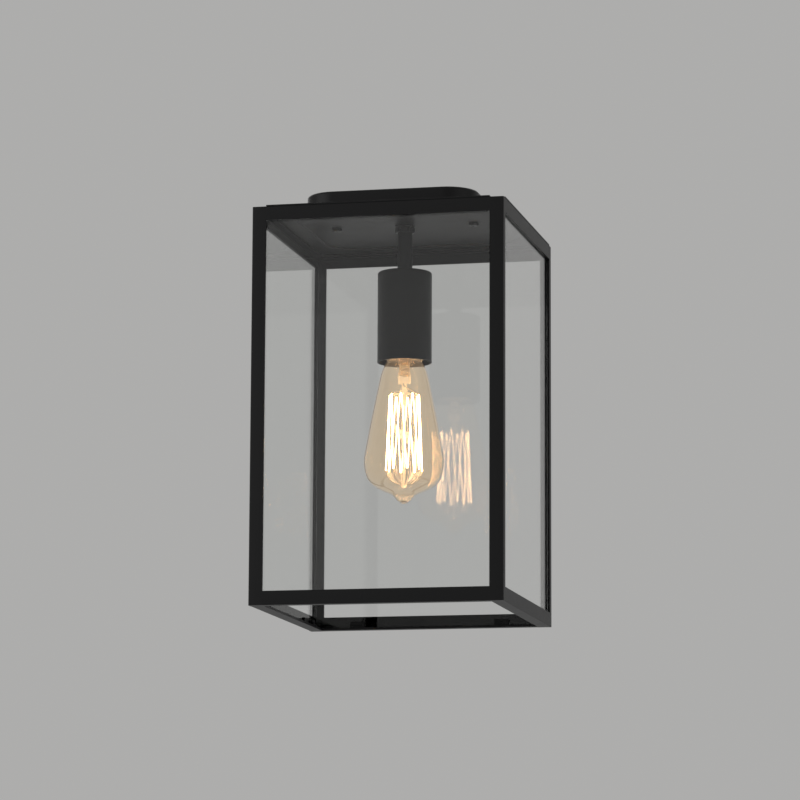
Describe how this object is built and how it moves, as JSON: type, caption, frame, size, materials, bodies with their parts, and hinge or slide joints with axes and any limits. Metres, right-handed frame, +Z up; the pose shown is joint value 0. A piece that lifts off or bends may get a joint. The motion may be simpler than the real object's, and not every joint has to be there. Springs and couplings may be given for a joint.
{
  "type": "ceiling lantern",
  "caption": "Square glazed box lantern with an open bottom, hung under a shallow ceiling pan, with a screw-in cage-filament lamp in a cup lampholder.",
  "frame": {"origin": "middle of the pan's face that meets the ceiling", "axes": "+Z up into the ceiling, the lantern hangs towards -Z; +X right and -Y front as in the picture"},
  "size_m": [0.2, 0.2, 0.33],
  "materials": {
    "black_satin": "satin black powder coat",
    "black_screw": "satin black coated steel fixings",
    "zinc_steel": "bright zinc plate",
    "brass": "plain brass, slightly dull",
    "clear_glass": "clear float glass, polished edges",
    "amber_glass": "clear glass with a light amber tint",
    "mount_glass": "clear glass, lit amber from the filament",
    "support_wire": "drawn wire",
    "filament_glow": "glowing filament",
    "ceramic": "white glazed ceramic",
    "black_rubber": "black rubber",
    "white_block": "natural white moulding",
    "lead_brown": "brown insulation",
    "lead_blue": "blue insulation",
    "lead_green": "green insulation with a yellow stripe",
    "black_vitrite": "black fused glass",
    "solder": "tinned contact"
  },
  "bodies": {
    "fixture": {"ceiling_pan": "black_satin", "cable_grommet": "black_rubber", "lid_pillars": "black_satin", "lid_screws": "black_screw", "terminal_block": "white_block", "terminal_barrels": "brass", "terminal_screws": "zinc_steel", "earth_terminal": "brass", "lid": "black_satin", "top_rail_front": "black_satin", "top_rail_back": "black_satin", "top_rail_left": "black_satin", "top_rail_right": "black_satin", "bottom_rail_front": "black_satin", "bottom_rail_back": "black_satin", "bottom_rail_left": "black_satin", "bottom_rail_right": "black_satin", "post_front_left": "black_satin", "post_front_right": "black_satin", "post_back_left": "black_satin", "post_back_right": "black_satin", "pane_front": "clear_glass", "pane_back": "clear_glass", "pane_left": "clear_glass", "pane_right": "clear_glass", "pane_clips": "zinc_steel", "stem_nipple": "zinc_steel", "stem_lock_nut": "zinc_steel", "stem_lock_washer": "zinc_steel", "stem_washer": "black_screw", "stem_nut": "black_screw", "stem_tube": "black_satin", "holder_shell": "black_satin", "holder_nipple": "zinc_steel", "holder_nut": "zinc_steel", "holder_bridge": "zinc_steel", "bridge_screws": "zinc_steel", "holder_core": "ceramic", "holder_terminals": "brass", "holder_sleeve": "brass", "centre_contact": "brass", "live_lead": "lead_brown", "neutral_lead": "lead_blue", "earth_lead": "lead_green"},
    "carrier": {"cap_insulator": "black_vitrite", "cap_contact": "solder"},
    "lamp": {"lamp_cap": "brass", "lamp_glass": "amber_glass", "lamp_mount": "mount_glass", "lamp_supports": "support_wire", "lamp_filament": "filament_glow"}
  },
  "joints": [
    {"name": "lamp_travel", "type": "slide", "parent": "fixture", "child": "carrier", "axis": [0, 0, -1], "range_m": [0, 0.01089]},
    {"name": "lamp_turn", "type": "hinge", "parent": "carrier", "child": "lamp", "pos_m": [0, 0, -0.2404], "axis": [0, 0, -1], "range_deg": [0, 1080]}
  ],
  "couplings": [
    {"joint": "lamp_travel", "follows": "lamp_turn", "m_per_rad": 0.00057756}
  ]
}
